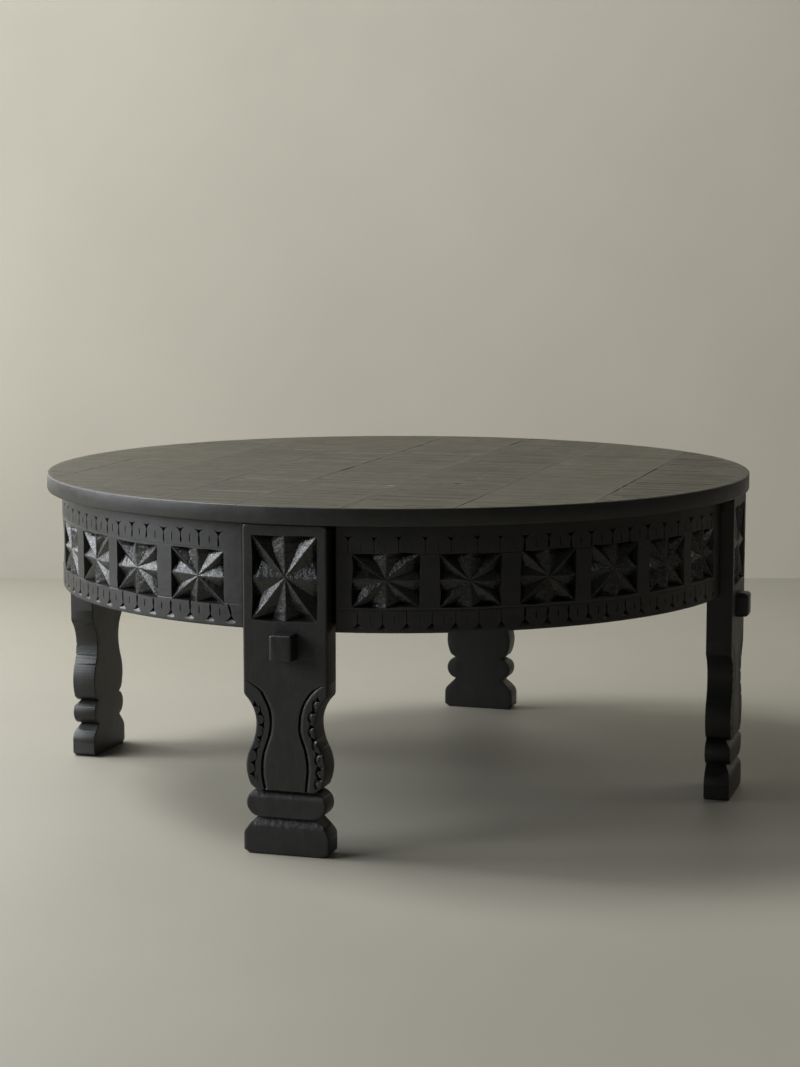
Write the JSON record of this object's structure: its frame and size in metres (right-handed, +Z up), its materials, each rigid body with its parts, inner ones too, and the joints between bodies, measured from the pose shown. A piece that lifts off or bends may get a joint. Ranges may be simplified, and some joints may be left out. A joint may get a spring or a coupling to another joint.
{
  "type": "carved round coffee table",
  "caption": "Low round table: planked disc top on a drum of carved curved apron panels, with flat shaped board legs and square pegs.",
  "frame": {"origin": "on the floor, under the middle of the round top", "axes": "+Z up; the front leg stands on -Y, the right leg on +X; the top's planks run along Y"},
  "size_m": [0.922, 0.922, 0.4],
  "materials": {
    "top_wood": "black stain, sawn texture, satin",
    "apron_wood": "black stain, carved, matt",
    "leg_wood": "black stain, carved, matt",
    "inner_wood": "black stain, planed, matt",
    "screw_steel": "zinc plated"
  },
  "bodies": {
    "root": {"apron_panel_1": "apron_wood", "apron_panel_2": "apron_wood", "apron_panel_3": "apron_wood", "apron_panel_4": "apron_wood", "leg_back": "leg_wood", "leg_block_back": "inner_wood", "leg_block_front": "inner_wood", "leg_block_left": "inner_wood", "leg_block_right": "inner_wood", "leg_coach_screws": "screw_steel", "leg_front": "leg_wood", "leg_left": "leg_wood", "leg_peg_back": "leg_wood", "leg_peg_front": "leg_wood", "leg_peg_left": "leg_wood", "leg_peg_right": "leg_wood", "leg_right": "leg_wood", "panel_block_1": "inner_wood", "panel_block_2": "inner_wood", "panel_block_3": "inner_wood", "panel_block_4": "inner_wood", "panel_block_5": "inner_wood", "panel_block_6": "inner_wood", "panel_block_7": "inner_wood", "panel_block_8": "inner_wood", "top_batten_back": "inner_wood", "top_batten_front": "inner_wood", "top_plank_1": "top_wood", "top_plank_2": "top_wood", "top_plank_3": "top_wood", "top_plank_4": "top_wood", "top_plank_5": "top_wood", "top_plank_6": "top_wood", "top_plank_7": "top_wood", "top_plank_8": "top_wood", "top_tongue_1": "inner_wood", "top_tongue_2": "inner_wood", "top_tongue_3": "inner_wood", "top_tongue_4": "inner_wood", "top_tongue_5": "inner_wood", "top_tongue_6": "inner_wood", "top_tongue_7": "inner_wood"}
  },
  "joints": []
}
